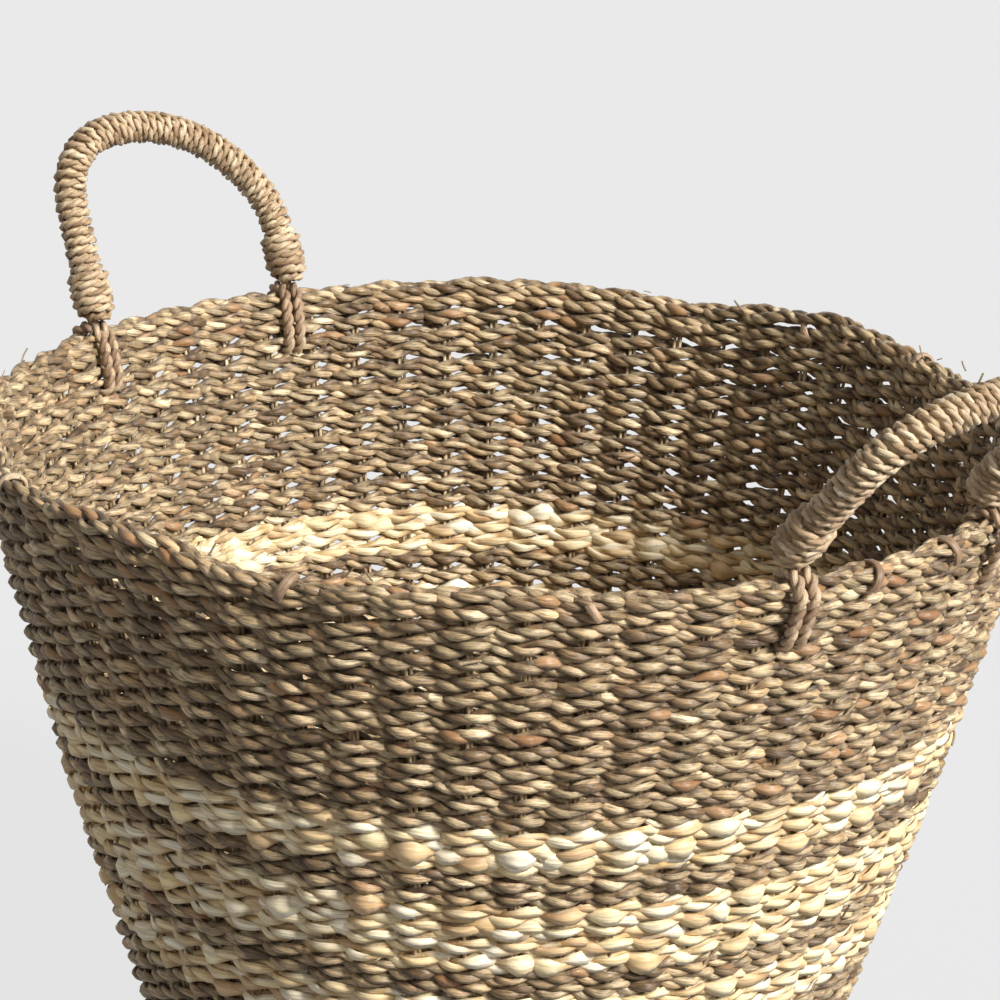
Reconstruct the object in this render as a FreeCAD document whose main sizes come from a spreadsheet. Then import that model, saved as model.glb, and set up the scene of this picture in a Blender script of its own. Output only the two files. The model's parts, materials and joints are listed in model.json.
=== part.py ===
"""Seagrass storage basket: a tapered, twined, open-topped bucket with two wrapped hoop handles.

Frame: +Z up, the origin at the middle of the flat underside. The handles stand on the rim at +X
(right) and -X (left). Each one swings about an axis along Y that runs through its two feet.
Every height on the wall is given as a depth below the crest of the rim.
"""
import FreeCAD
import Part
import Sketcher
import math
import os

FULL_TURN = 360.0
V = FreeCAD.Vector
Z_AXIS = V(0, 0, 1)
X_AXIS = V(1, 0, 0)

doc = FreeCAD.newDocument("seagrass_basket")
sheet = doc.addObject("Spreadsheet::Sheet", "sizes")

# ---------------------------------------------------------------- driving dimensions, mm and degrees
DIMENSIONS = [
    ("basket_height", 300, "underside to the crest of the rim"),
    ("rim_radius", 205, "middle of the wall at the rim"),
    ("rim_cord", 11, "thickness of the plaited border"),
    ("wall_slope", 0.2215, "how fast the wall narrows going down"),
    ("wall_bulge", 0.000205, "how much faster it narrows lower down, per mm"),
    ("wall_thickness", 8, "two twined cords and a stake"),
    ("upper_wall_height", 86, "seagrass rows under the rim"),
    ("pale_upper_height", 19, "three rows of pale leaf"),
    ("brown_upper_height", 14, "two seagrass rows"),
    ("pale_middle_height", 30, "four rows of pale leaf"),
    ("brown_lower_height", 12, "two seagrass rows"),
    ("pale_lower_height", 24, "three rows of pale leaf"),
    ("foot_height", 10, "the thick row that turns the corner at the foot"),
    ("foot_reach", 3, "how far the foot row stands out from the wall"),
    ("base_thickness", 8, "twined base"),
    ("base_centre_radius", 26, "where the base is started"),
    ("stake_count", 60, "upright stakes round the wall"),
    ("stake_thickness", 3, "bundle of grass strands"),
    ("spoke_count", 20, "stakes seen lying in the base"),
    ("play", 0.3, "room between pieces that pass through each other"),
    ("foot_steps", 2.5, "stake steps from the X axis to a handle's foot"),
    ("right_near_rise", 38, "straight leg of the right handle's first foot"),
    ("right_near_corner", 30, "radius of the shoulder over that foot"),
    ("right_far_rise", 38, "straight leg of its other foot"),
    ("right_far_corner", 30, "radius of the shoulder over that foot"),
    ("right_crown", 120, "radius of the curve between its shoulders"),
    ("left_near_rise", 41, "the left handle is bent more sharply over its first foot"),
    ("left_near_corner", 28, "radius of the shoulder over that foot"),
    ("left_far_rise", 11, "straight leg of its other foot"),
    ("left_far_corner", 43, "radius of the shoulder over that foot"),
    ("left_crown", 78, "radius of the curve between its shoulders"),
    ("handle_thickness", 14.5, "over the wrapping"),
    ("core_thickness", 8.6, "grass rope inside the wrapping"),
    ("binding_thickness", 17, "over the whipping at a foot"),
    ("binding_height", 12, "whipping above the hinge line"),
    ("hinge_above_rim", 13, "hinge line over the crest of the rim"),
    ("right_lean", 40, "right handle leans outward at rest"),
    ("left_lean", 20, "left handle leans outward at rest"),
    ("tie_cord", 4.2, "cord that ties a foot to the rim"),
    ("tie_depth", 19, "where the tie cord goes through the wall"),
    ("tie_loop_low", 6.8, "radius of the tie where it goes through the wall"),
    ("tie_spacing", 5.4, "between the two turns of a tie"),
]
for row_number, (alias, value, note) in enumerate(DIMENSIONS, start=1):
    sheet.set("A%d" % row_number, alias)
    sheet.set("B%d" % row_number, str(value))
    sheet.set("C%d" % row_number, note)
    sheet.setAlias("B%d" % row_number, alias)
doc.recompute()


def size(alias):
    """The number in a cell of the sheet."""
    return float(sheet.get(alias))


def cell(alias):
    """The same cell, as an expression refers to it."""
    return "sizes." + alias


def wall_radius(depth):
    """Middle of the wall at a depth below the crest of the rim."""
    return size("rim_radius") - size("wall_slope") * depth - size("wall_bulge") * depth ** 2


def wall_radius_expression(depth):
    """The same radius as an expression; depth is an expression too."""
    return "(sizes.rim_radius - sizes.wall_slope * ({0}) - sizes.wall_bulge * ({0}) * ({0}))".format(depth)


# ---------------------------------------------------------------- helpers for bodies and sketches
def new_body(label):
    body = doc.addObject("PartDesign::Body", label)
    body.Label = label
    return body


def new_sketch(body, name, plane_role):
    """An empty sketch on one of the body's own origin planes."""
    sketch = body.newObject("Sketcher::SketchObject", name)
    plane = [item for item in body.Origin.OriginFeatures if item.Role == plane_role][0]
    sketch.AttachmentSupport = [(plane, "")]
    sketch.MapMode = "FlatFace"
    return sketch


def bind(sketch, constraint, expression):
    """Add a dimension to a sketch and tie it to an expression."""
    index = sketch.addConstraint(constraint)
    sketch.setExpression("Constraints[%d]" % index, expression)


def pin_point(sketch, geometry, end, point, across, along):
    """Hold one point of a sketch at the expressions across and along from the sketch's origin."""
    bind(sketch, Sketcher.Constraint("DistanceX", -1, 1, geometry, end, point.x), across)
    bind(sketch, Sketcher.Constraint("DistanceY", -1, 1, geometry, end, point.y), along)


def outline(sketch, corners):
    """A closed outline of straight sides; corners are (x, y, x expression, y expression)."""
    points = [V(x, y, 0) for x, y, across, along in corners]
    for index, point in enumerate(points):
        sketch.addGeometry(Part.LineSegment(point, points[(index + 1) % len(points)]), False)
    for index in range(len(points)):
        sketch.addConstraint(Sketcher.Constraint("Coincident", index, 2, (index + 1) % len(points), 1))
    for index, (x, y, across, along) in enumerate(corners):
        pin_point(sketch, index, 1, points[index], across, along)


def circle(sketch, centre, radius, across, along, expression):
    """A circle whose centre and radius follow expressions."""
    index = sketch.addGeometry(Part.Circle(centre, Z_AXIS, radius), False)
    pin_point(sketch, index, 3, centre, across, along)
    bind(sketch, Sketcher.Constraint("Radius", index, radius), expression)


def revolve(body, sketch):
    feature = body.newObject("PartDesign::Revolution", body.Label + "_turned")
    feature.Profile = sketch
    feature.ReferenceAxis = (sketch, ["V_Axis"])
    feature.Angle = FULL_TURN
    sketch.Visibility = False
    return feature


def turned_ring(label, corners):
    """A body of revolution about Z from a closed outline in the XZ plane."""
    body = new_body(label)
    sketch = new_sketch(body, label + "_outline", "XZ_Plane")
    outline(sketch, corners)
    revolve(body, sketch)
    return body


def swept(body, path, profile):
    """The profile sketch carried along the path sketch."""
    feature = body.newObject("PartDesign::AdditivePipe", body.Label + "_sweep")
    feature.Profile = profile
    feature.Spine = (path, ["Edge%d" % (i + 1) for i in range(path.GeometryCount)])
    return feature


def compound(label, members):
    """Separate solids kept together as one sub-part."""
    group = doc.addObject("Part::Compound", label)
    group.Label = label
    group.Links = members
    return group


def cut(label, base, tool):
    result = doc.addObject("Part::Cut", label)
    result.Label = label
    result.Base = base
    result.Tool = tool
    return result


def shape_feature(label, shape):
    feature = doc.addObject("Part::Feature", label)
    feature.Label = label
    feature.Shape = shape
    return feature


# ---------------------------------------------------------------- the wall's bands, from the top down
BANDS = ["upper_wall", "pale_upper", "brown_upper", "pale_middle", "brown_lower", "pale_lower"]
NODE_OF_BAND = {
    "upper_wall": "upper_wall_rows",
    "pale_upper": "pale_band_upper",
    "brown_upper": "brown_band_upper",
    "pale_middle": "pale_band_middle",
    "brown_lower": "brown_band_lower",
    "pale_lower": "pale_band_lower",
}
wall_foot_depth = size("basket_height") - size("foot_height")
foot_depth_expression = "(sizes.basket_height - sizes.foot_height)"

band_edges = []
depth, depth_text = size("rim_cord"), cell("rim_cord")
for band in BANDS:
    lower, lower_text = depth + size(band + "_height"), depth_text + " + " + cell(band + "_height")
    band_edges.append((NODE_OF_BAND[band], depth, depth_text, lower, lower_text))
    depth, depth_text = lower, lower_text
band_edges.append(("lower_wall_rows", depth, depth_text, wall_foot_depth, foot_depth_expression))


def wall_corner(depth, depth_text, side):
    """A corner of a band's section; side is -1 on the inner face and +1 on the outer."""
    return (
        wall_radius(depth) + side * size("wall_thickness") / 2,
        size("basket_height") - depth,
        "%s %s sizes.wall_thickness / 2" % (wall_radius_expression(depth_text), "-" if side < 0 else "+"),
        "sizes.basket_height - (%s)" % depth_text,
    )


def band_body(label, top, top_text, bottom, bottom_text):
    corners = [
        wall_corner(bottom, bottom_text, -1),
        wall_corner(bottom, bottom_text, 1),
        wall_corner(top, top_text, 1),
        wall_corner(top, top_text, -1),
    ]
    return turned_ring(label + "_solid", corners)


# ---------------------------------------------------------------- stakes and the channels they run in
def stake_at(angle, thickness, end_depths):
    """One stake: straight between the edges of the bands, in an upright plane through the Z axis."""
    points = [V(wall_radius(d), 0, size("basket_height") - d) for d in end_depths]
    direction = (points[1] - points[0]).normalize()
    section = Part.Wire([Part.Circle(points[0], direction, thickness / 2).toShape()])
    stake = Part.Wire(Part.makePolygon(points)).makePipeShell([section], True, False, 1)
    stake.rotate(V(0, 0, 0), Z_AXIS, angle)
    return stake


def round_of_stakes(thickness, first_depth, last_depth):
    """Every stake of the wall. The first is on the X axis, so the handles' ties fall between stakes."""
    bends = [edge[3] for edge in band_edges[:-1]]
    depths = [last_depth] + bends[::-1] + [first_depth]
    count = int(size("stake_count"))
    step = FULL_TURN / count
    return Part.makeCompound([stake_at(k * step, thickness, depths) for k in range(count)])


def round_of_spokes(thickness, inner, outer):
    """Every spoke of the base, lying level in the middle of its thickness."""
    count = int(size("spoke_count"))
    start = V(inner, 0, size("base_thickness") / 2)
    spokes = []
    for k in range(count):
        spoke = Part.makeCylinder(thickness / 2, outer - inner, start, X_AXIS)
        spoke.rotate(V(0, 0, 0), Z_AXIS, k * FULL_TURN / count)
        spokes.append(spoke)
    return Part.makeCompound(spokes)


end_gap = size("play")
channel_thickness = size("stake_thickness") + 2 * size("play")
stake_channels = shape_feature(
    "stake_channels",
    round_of_stakes(channel_thickness, size("rim_cord") + end_gap, wall_foot_depth + end_gap),
)
wall_stakes = shape_feature(
    "wall_stakes",
    round_of_stakes(size("stake_thickness"), size("rim_cord") + 2 * end_gap, wall_foot_depth - end_gap),
)

# ---------------------------------------------------------------- base
base_reach = wall_radius(wall_foot_depth) - size("wall_thickness") / 2
base_reach_text = "%s - sizes.wall_thickness / 2" % wall_radius_expression(foot_depth_expression)
spoke_inner = size("base_centre_radius") + 2 * end_gap
spoke_outer = base_reach - 2 * end_gap

base_centre = turned_ring("base_centre", [
    (0, 0, "0", "0"),
    (size("base_centre_radius"), 0, cell("base_centre_radius"), "0"),
    (size("base_centre_radius"), size("base_thickness"), cell("base_centre_radius"), cell("base_thickness")),
    (0, size("base_thickness"), "0", cell("base_thickness")),
])
base_ring = turned_ring("base_ring", [
    (size("base_centre_radius"), 0, cell("base_centre_radius"), "0"),
    (base_reach, 0, base_reach_text, "0"),
    (base_reach, size("base_thickness"), base_reach_text, cell("base_thickness")),
    (size("base_centre_radius"), size("base_thickness"), cell("base_centre_radius"), cell("base_thickness")),
])
base_spokes = shape_feature("base_spokes", round_of_spokes(size("stake_thickness"), spoke_inner, spoke_outer))
spoke_channels = shape_feature(
    "spoke_channels",
    round_of_spokes(channel_thickness, spoke_inner - end_gap, spoke_outer + end_gap),
)
base_rows = cut("base_rows", base_ring, spoke_channels)

foot_out = base_reach + size("wall_thickness") + size("foot_reach")
foot_out_text = "%s + sizes.wall_thickness + sizes.foot_reach" % base_reach_text
foot_row = turned_ring("foot_row", [
    (base_reach, 0, base_reach_text, "0"),
    (foot_out - size("foot_reach"), 0, foot_out_text + " - sizes.foot_reach", "0"),
    (foot_out, size("foot_reach"), foot_out_text, cell("foot_reach")),
    (foot_out, size("foot_height") - size("foot_reach"), foot_out_text,
     "sizes.foot_height - sizes.foot_reach"),
    (foot_out - size("foot_reach"), size("foot_height"), foot_out_text + " - sizes.foot_reach",
     cell("foot_height")),
    (base_reach, size("foot_height"), base_reach_text, cell("foot_height")),
])

# ---------------------------------------------------------------- rim
rim_border = doc.addObject("Part::Torus", "rim_border")
rim_border.Label = "rim_border"
rim_border.setExpression("Radius1", cell("rim_radius"))
rim_border.setExpression("Radius2", "sizes.rim_cord / 2")
rim_border.setExpression("Placement.Base.z", "sizes.basket_height - sizes.rim_cord / 2")


# ---------------------------------------------------------------- ties: cord loops over the rim
def tie_body(label, thickness_text):
    """One turn of a tie in its own frame: X outward, the rim border's middle at the origin.

    The loop passes over the border on a half circle, runs down both faces of the wall and goes
    through the wall on a smaller arc. Two straight runs join the arcs.
    """
    body = new_body(label)
    play, cord = size("play"), size("tie_cord")
    over = size("rim_cord") / 2 + play + cord / 2
    over_text = "sizes.rim_cord / 2 + sizes.play + sizes.tie_cord / 2"
    under = size("tie_loop_low")
    low = V(wall_radius(size("tie_depth")) - size("rim_radius"), size("rim_cord") / 2 - size("tie_depth"), 0)
    low_across = "%s - sizes.rim_radius" % wall_radius_expression(cell("tie_depth"))
    low_along = "sizes.rim_cord / 2 - sizes.tie_depth"
    # the straight runs touch both circles, so they lean from the line of centres by this angle
    reach = low.Length
    line_of_centres = math.atan2(low.y, low.x)
    lean = math.acos((over - under) / reach)
    left = line_of_centres - lean
    right = line_of_centres + lean
    arms = {side: V(math.cos(a), math.sin(a), 0) for side, a in (("left", left), ("right", right))}
    path = new_sketch(body, label + "_path", "XZ_Plane")
    over_arc = Part.ArcOfCircle(Part.Circle(V(0, 0, 0), Z_AXIS, over), right, left + 2 * math.pi)
    path.addGeometry(over_arc, False)
    path.addGeometry(Part.LineSegment(arms["left"] * over, low + arms["left"] * under), False)
    path.addGeometry(Part.ArcOfCircle(Part.Circle(low, Z_AXIS, under), left, right), False)
    path.addGeometry(Part.LineSegment(low + arms["right"] * under, arms["right"] * over), False)
    path.addConstraint(Sketcher.Constraint("Tangent", 0, 2, 1, 1))
    path.addConstraint(Sketcher.Constraint("Tangent", 1, 2, 2, 1))
    path.addConstraint(Sketcher.Constraint("Tangent", 2, 2, 3, 1))
    path.addConstraint(Sketcher.Constraint("Tangent", 3, 2, 0, 1))
    path.addConstraint(Sketcher.Constraint("Coincident", 0, 3, -1, 1))
    bind(path, Sketcher.Constraint("Radius", 0, over), over_text)
    pin_point(path, 2, 3, low, low_across, low_along)
    bind(path, Sketcher.Constraint("Radius", 2, under), cell("tie_loop_low"))
    profile = new_sketch(body, label + "_section", "YZ_Plane")
    circle(profile, V(0, over, 0), cord / 2, "0", over_text, thickness_text)
    swept(body, path, profile)
    return body


foot_angle = size("foot_steps") * FULL_TURN / size("stake_count")
rim_middle_height = size("basket_height") - size("rim_cord") / 2
FEET = [("right", 0.0), ("left", 180.0)]
SIDES = [("front", -1), ("back", 1)]


def tie_placement(azimuth, offset):
    """Stand a tie on the rim at an azimuth, moved sideways along the rim by offset."""
    turn = FreeCAD.Rotation(Z_AXIS, azimuth)
    place = turn.multVec(V(size("rim_radius"), offset, 0)) + V(0, 0, rim_middle_height)
    return FreeCAD.Placement(place, turn)


tie_holes = []
for handle, facing in FEET:
    for side, sign in SIDES:
        azimuth = facing + sign * foot_angle
        turns = []
        for turn_name, half in (("first", -0.5), ("second", 0.5)):
            name = "%s_handle_%s_tie_%s_turn" % (handle, side, turn_name)
            turn_body = tie_body(name, "sizes.tie_cord / 2")
            turn_body.Placement = tie_placement(azimuth, half * size("tie_spacing"))
            turns.append(turn_body)
            hole = tie_body(name + "_hole", "sizes.tie_cord / 2 + sizes.play")
            hole.Placement = turn_body.Placement
            tie_holes.append(hole)
        compound("%s_handle_%s_tie" % (handle, side), turns)
channels_of_ties = compound("tie_channels", tie_holes)

# ---------------------------------------------------------------- the wall, pierced for stakes and ties
for label, top, top_text, bottom, bottom_text in band_edges:
    solid = band_body(label, top, top_text, bottom, bottom_text)
    if label == "upper_wall_rows":
        solid = cut("upper_wall_rows_tied", solid, channels_of_ties)
    cut(label, solid, stake_channels)

# ---------------------------------------------------------------- handles
half_span = size("rim_radius") * math.sin(math.radians(foot_angle))
half_span_text = "sizes.rim_radius * sin(sizes.foot_steps * 360 / sizes.stake_count)"
hinge_reach = size("rim_radius") * math.cos(math.radians(foot_angle))
hinge_height = size("basket_height") + size("hinge_above_rim")


def handle_placement(facing, lean, along=0.0):
    """From a handle's own frame (X between its feet, Z up its legs) to its place on the rim."""
    quarter = FreeCAD.Rotation(Z_AXIS, facing + 90)
    tilt = FreeCAD.Rotation(X_AXIS, lean)
    hinge = FreeCAD.Rotation(Z_AXIS, facing).multVec(V(hinge_reach, 0, 0)) + V(0, 0, hinge_height)
    return FreeCAD.Placement(hinge + quarter.multVec(V(along, 0, 0)), quarter.multiply(tilt))


def crown_middle(near, near_gap, far, far_gap):
    """The lower of the two points that lie near_gap from near and far_gap from far."""
    across = far - near
    apart = across.Length
    foot = (near_gap ** 2 - far_gap ** 2 + apart ** 2) / (2 * apart)
    sag = math.sqrt(near_gap ** 2 - foot ** 2)
    return near + across * (foot / apart) + V(-across.y, across.x, 0) * (sag / apart)


def arch_path(body, name, handle):
    """A handle's centreline: two legs, two shoulders and a flatter crown, all tangent.

    It starts on the hinge line at one foot and is drawn in order round to the other.
    """
    sketch = new_sketch(body, name, "XZ_Plane")
    near_rise, near_corner = size(handle + "_near_rise"), size(handle + "_near_corner")
    far_rise, far_corner = size(handle + "_far_rise"), size(handle + "_far_corner")
    crown = size(handle + "_crown")
    near_centre = V(half_span - near_corner, near_rise, 0)
    far_centre = V(far_corner - half_span, far_rise, 0)
    crown_centre = crown_middle(near_centre, crown - near_corner, far_centre, crown - far_corner)
    near_turn = math.atan2(near_centre.y - crown_centre.y, near_centre.x - crown_centre.x)
    far_turn = math.atan2(far_centre.y - crown_centre.y, far_centre.x - crown_centre.x)
    curves = [(near_centre, near_corner, 0, near_turn), (crown_centre, crown, near_turn, far_turn),
              (far_centre, far_corner, far_turn, math.pi)]
    sketch.addGeometry(Part.LineSegment(V(half_span, 0, 0), V(half_span, near_rise, 0)), False)
    for centre, radius, first, last in curves:
        sketch.addGeometry(Part.ArcOfCircle(Part.Circle(centre, Z_AXIS, radius), first, last), False)
    sketch.addGeometry(Part.LineSegment(V(-half_span, far_rise, 0), V(-half_span, 0, 0)), False)
    for index in range(4):
        sketch.addConstraint(Sketcher.Constraint("Tangent", index, 2, index + 1, 1))
    sketch.addConstraint(Sketcher.Constraint("Vertical", 0))
    pin_point(sketch, 0, 1, V(half_span, 0, 0), half_span_text, "0")
    pin_point(sketch, 4, 2, V(-half_span, 0, 0), "-(%s)" % half_span_text, "0")
    radii = [(near_corner, "_near_corner"), (crown, "_crown"), (far_corner, "_far_corner")]
    for index, (radius, alias) in enumerate(radii, start=1):
        bind(sketch, Sketcher.Constraint("Radius", index, radius), cell(handle + alias))
    bind(sketch, Sketcher.Constraint("DistanceY", -1, 1, 0, 2, near_rise), cell(handle + "_near_rise"))
    bind(sketch, Sketcher.Constraint("DistanceY", -1, 1, 4, 1, far_rise), cell(handle + "_far_rise"))
    return sketch


def arch_piece(label, handle, rings, placement):
    """A piece swept along the arch; rings are (radius, expression), one circle or two for a tube."""
    body = new_body(label)
    path = arch_path(body, label + "_path", handle)
    section = new_sketch(body, label + "_section", "XY_Plane")
    for radius, radius_text in rings:
        circle(section, V(half_span, 0, 0), radius, half_span_text, "0", radius_text)
    swept(body, path, section)
    body.Placement = placement
    return body


def binding_piece(label, placement):
    """The whipping at a foot: a sleeve over the wrapped leg with a rounded end on the hinge line."""
    body = new_body(label)
    sketch = new_sketch(body, label + "_outline", "XZ_Plane")
    outer, bore = size("binding_thickness") / 2, size("handle_thickness") / 2 + size("play")
    top, floor = size("binding_height"), -size("play")
    corners = [V(outer, 0, 0), V(outer, top, 0), V(bore, top, 0), V(bore, floor, 0), V(0, floor, 0),
               V(0, -outer, 0)]
    for start, end in zip(corners[:-1], corners[1:]):
        sketch.addGeometry(Part.LineSegment(start, end), False)
    end_arc = Part.ArcOfCircle(Part.Circle(V(0, 0, 0), Z_AXIS, outer), -math.pi / 2, 0)
    sketch.addGeometry(end_arc, False)
    for index in range(4):
        sketch.addConstraint(Sketcher.Constraint("Coincident", index, 2, index + 1, 1))
    sketch.addConstraint(Sketcher.Constraint("Coincident", 4, 2, 5, 1))
    sketch.addConstraint(Sketcher.Constraint("Coincident", 5, 2, 0, 1))
    sketch.addConstraint(Sketcher.Constraint("Coincident", 5, 3, -1, 1))
    bore_text = "sizes.handle_thickness / 2 + sizes.play"
    pin_point(sketch, 0, 1, corners[0], "sizes.binding_thickness / 2", "0")
    pin_point(sketch, 1, 1, corners[1], "sizes.binding_thickness / 2", cell("binding_height"))
    pin_point(sketch, 2, 1, corners[2], bore_text, cell("binding_height"))
    pin_point(sketch, 3, 1, corners[3], bore_text, "-sizes.play")
    pin_point(sketch, 4, 1, corners[4], "0", "-sizes.play")
    bind(sketch, Sketcher.Constraint("DistanceX", -1, 1, 5, 1, 0), "0")
    revolve(body, sketch)
    body.Placement = placement
    return body


LEANS = {"right": size("right_lean"), "left": size("left_lean")}
for handle, facing in FEET:
    lean = LEANS[handle]
    arch_place = handle_placement(facing, lean)
    core_ring = (size("core_thickness") / 2, "sizes.core_thickness / 2")
    arch_piece(handle + "_handle_core", handle, [core_ring], arch_place)
    arch_piece(handle + "_handle_wrap", handle, [
        (size("handle_thickness") / 2, "sizes.handle_thickness / 2"),
        (size("core_thickness") / 2 + size("play"), "sizes.core_thickness / 2 + sizes.play"),
    ], arch_place)
    for side, sign in SIDES:
        foot_place = handle_placement(facing, lean, sign * half_span)
        binding_piece("%s_handle_%s_binding" % (handle, side), foot_place)

# ---------------------------------------------------------------- check and write
doc.recompute()
NODES = ["rim_border", "wall_stakes", "base_centre", "base_rows", "base_spokes", "foot_row"]
NODES += [edge[0] for edge in band_edges]
for handle, facing in FEET:
    NODES += ["%s_handle_%s" % (handle, piece) for piece in ("core", "wrap")]
    for side, sign in SIDES:
        NODES += ["%s_handle_%s_%s" % (handle, side, piece) for piece in ("binding", "tie")]

for item in doc.Objects:
    failed = [state for state in item.State if state in ("Invalid", "Error")]
    if failed:
        raise RuntimeError("%s is %s" % (item.Label, ", ".join(failed)))

os.makedirs("parts", exist_ok=True)
for node in NODES:
    part = doc.getObjectsByLabel(node)[0]
    shape = part.Shape
    if shape.isNull() or not shape.isValid():
        raise RuntimeError("%s has no valid shape" % node)
    shape.exportStep("parts/%s.step" % node)
    box = shape.BoundBox
    print("%-28s solids %3d  volume %9.1f mm3  z %6.1f to %6.1f" % (
        node, len(shape.Solids), shape.Volume, box.ZMin, box.ZMax))
print("%d nodes, hinge line at x = %.3f, z = %.3f, feet at y = +-%.3f" % (
    len(NODES), hinge_reach, hinge_height, half_span))
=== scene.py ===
# %% [markdown]
# # A seagrass storage basket
# The basket is a tapered bucket of twined seagrass with three bands of pale leaf, a plaited rim
# and two hoop handles wrapped in straw cord. The frame holds the true sizes and what moves, so
# every piece below takes its place from the frame's nodes. Nearly everything on a basket repeats,
# and Geometry Nodes make what repeats: one tree twines the rows, one stands the stakes up, and
# one winds cord on a path.

# %% Load the frame
import bpy
import json
import math
from mathutils import Matrix, Vector


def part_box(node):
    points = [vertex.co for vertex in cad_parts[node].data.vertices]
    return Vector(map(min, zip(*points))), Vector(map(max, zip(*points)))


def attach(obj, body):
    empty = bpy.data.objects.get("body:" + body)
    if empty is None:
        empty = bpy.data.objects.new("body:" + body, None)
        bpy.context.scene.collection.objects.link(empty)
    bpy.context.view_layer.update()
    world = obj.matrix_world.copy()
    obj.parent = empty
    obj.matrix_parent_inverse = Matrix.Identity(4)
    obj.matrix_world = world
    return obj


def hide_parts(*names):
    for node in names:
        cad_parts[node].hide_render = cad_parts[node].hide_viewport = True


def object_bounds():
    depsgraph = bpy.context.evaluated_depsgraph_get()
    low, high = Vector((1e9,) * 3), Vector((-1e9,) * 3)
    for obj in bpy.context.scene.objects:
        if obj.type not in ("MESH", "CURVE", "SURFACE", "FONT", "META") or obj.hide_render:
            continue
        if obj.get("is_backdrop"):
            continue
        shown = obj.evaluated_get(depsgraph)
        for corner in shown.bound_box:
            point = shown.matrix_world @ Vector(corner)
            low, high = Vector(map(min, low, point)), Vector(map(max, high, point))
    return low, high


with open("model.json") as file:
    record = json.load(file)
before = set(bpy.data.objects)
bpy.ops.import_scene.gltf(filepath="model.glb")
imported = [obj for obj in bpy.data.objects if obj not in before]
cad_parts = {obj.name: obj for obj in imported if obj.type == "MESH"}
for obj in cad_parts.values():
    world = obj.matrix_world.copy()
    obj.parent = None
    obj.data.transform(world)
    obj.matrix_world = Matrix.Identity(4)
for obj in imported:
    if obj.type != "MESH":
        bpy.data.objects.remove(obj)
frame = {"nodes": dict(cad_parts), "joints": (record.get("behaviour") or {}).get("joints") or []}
cad_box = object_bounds()

# %% Sizes that the whole basket shares, in metres
rim_low, rim_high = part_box("rim_border")
foot_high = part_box("foot_row")[1]
HEIGHT = rim_high.z
RIM_CORD = rim_high.z - rim_low.z
RIM_RADIUS = rim_high.x - RIM_CORD / 2
WALL_SLOPE = 0.2215
WALL_BULGE = 0.205
STAKES = 60
SPOKES = 20
print("rim radius %.4f, height %.4f, rim cord %.4f" % (RIM_RADIUS, HEIGHT, RIM_CORD))


def wall_radius(depth):
    """Middle of the wall at a depth below the crest of the rim."""
    return RIM_RADIUS - WALL_SLOPE * depth - WALL_BULGE * depth ** 2


# %% [markdown]
# ## Formulas as nodes
# The rows follow a formula, and a formula written as loose Math nodes is hard to read. A small
# class holds one socket and turns Python's own operators into Math nodes, so that the trees
# below read like the formulas that they are.

# %% A field that turns operators into nodes
class Field:
    """One number in a node tree. Its operators add Math nodes."""

    def __init__(self, tree, socket):
        self.tree = tree
        self.socket = socket

    def math(self, operation, *others):
        node = self.tree.nodes.new("ShaderNodeMath")
        node.operation = operation
        for slot, value in zip(node.inputs, (self,) + others):
            connect(self.tree, value, slot)
        return Field(self.tree, node.outputs[0])

    def __add__(self, other):
        return self.math("ADD", other)

    def __sub__(self, other):
        return self.math("SUBTRACT", other)

    def __mul__(self, other):
        return self.math("MULTIPLY", other)

    def __truediv__(self, other):
        return self.math("DIVIDE", other)

    def __rsub__(self, other):
        return (self * -1.0) + other

    __radd__ = __add__
    __rmul__ = __mul__

    def sin(self):
        return self.math("SINE")

    def cos(self):
        return self.math("COSINE")

    def floor(self):
        return self.math("FLOOR")

    def round(self):
        return self.math("ROUND")

    def modulo(self, other):
        return self.math("FLOORED_MODULO", other)


def connect(tree, value, slot):
    """Put a field, a socket or a plain value into a node's input."""
    if isinstance(value, Field):
        tree.links.new(value.socket, slot)
    elif isinstance(value, bpy.types.NodeSocket):
        tree.links.new(value, slot)
    else:
        slot.default_value = value


def add_node(tree, kind, settings=None, **inputs):
    """A node with its settings and its inputs filled; input names use _ for a space."""
    node = tree.nodes.new(kind)
    for name, value in (settings or {}).items():
        setattr(node, name, value)
    for name, value in inputs.items():
        slots = [s for s in node.inputs if s.name == name.replace("_", " ") and s.enabled]
        connect(tree, value, slots[0])
    return node


def vector_of(tree, x, y, z):
    return add_node(tree, "ShaderNodeCombineXYZ", X=x, Y=y, Z=z).outputs[0]


def parts_of(tree, socket):
    node = add_node(tree, "ShaderNodeSeparateXYZ", Vector=socket)
    return [Field(tree, out) for out in node.outputs]


def noise_fields(tree, vector, scale):
    """Three smooth, centred random fields, each about -0.5 to 0.5."""
    node = add_node(tree, "ShaderNodeTexNoise", Vector=vector, Scale=scale, Detail=1.0)
    return [value - 0.5 for value in parts_of(tree, node.outputs["Color"])]


def random_field(tree, identity, seed):
    """A random number from 0 to 1 for each whole number."""
    node = tree.nodes.new("FunctionNodeRandomValue")
    node.data_type = "FLOAT"
    slots = {s.identifier: s for s in node.inputs}
    slots["Min_001"].default_value, slots["Max_001"].default_value = 0.0, 1.0
    connect(tree, identity, slots["ID"])
    connect(tree, seed, slots["Seed"])
    return Field(tree, [s for s in node.outputs if s.enabled][0])


def store(tree, geometry, name, value, data_type="FLOAT"):
    node = add_node(tree, "GeometryNodeStoreNamedAttribute",
                    {"data_type": data_type, "domain": "POINT"}, Geometry=geometry, Name=name)
    connect(tree, value, [s for s in node.inputs if s.name == "Value" and s.enabled][0])
    return node.outputs[0]


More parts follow.
